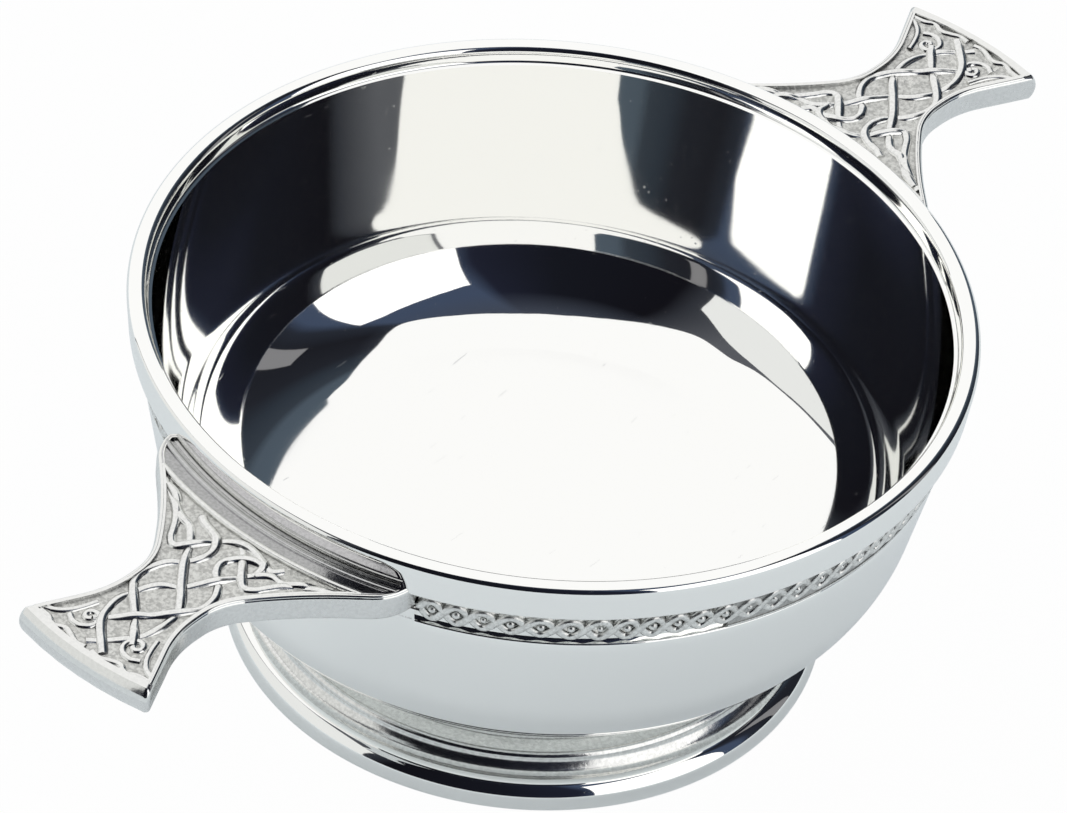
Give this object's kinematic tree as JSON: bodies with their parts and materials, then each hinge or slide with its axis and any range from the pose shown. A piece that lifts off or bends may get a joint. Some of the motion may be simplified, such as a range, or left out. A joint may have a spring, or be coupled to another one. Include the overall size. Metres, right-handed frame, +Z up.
{
  "type": "quaich",
  "caption": "Shallow round drinking bowl of polished pewter on a low foot ring, with a flat waisted lug on each side and knotwork on the lugs and below the rim.",
  "frame": {"origin": "on the table, under the middle of the bowl", "axes": "+Z up out of the bowl's mouth, +X along the lugs, towards the right lug"},
  "size_m": [0.1622, 0.1, 0.0476],
  "materials": {
    "polished_pewter": "mirror-polished pewter with fine wiping scratches",
    "antiqued_pewter": "cast pewter, bright on the raised strands and dark in the recesses",
    "solder": "soft-solder seam, satin"
  },
  "bodies": {
    "root": {"bowl": "polished_pewter", "foot_ring": "polished_pewter", "foot_solder": "solder", "left_lug": "antiqued_pewter", "left_lug_solder": "solder", "right_lug": "antiqued_pewter", "right_lug_solder": "solder", "front_band": "antiqued_pewter", "back_band": "antiqued_pewter"}
  },
  "joints": []
}
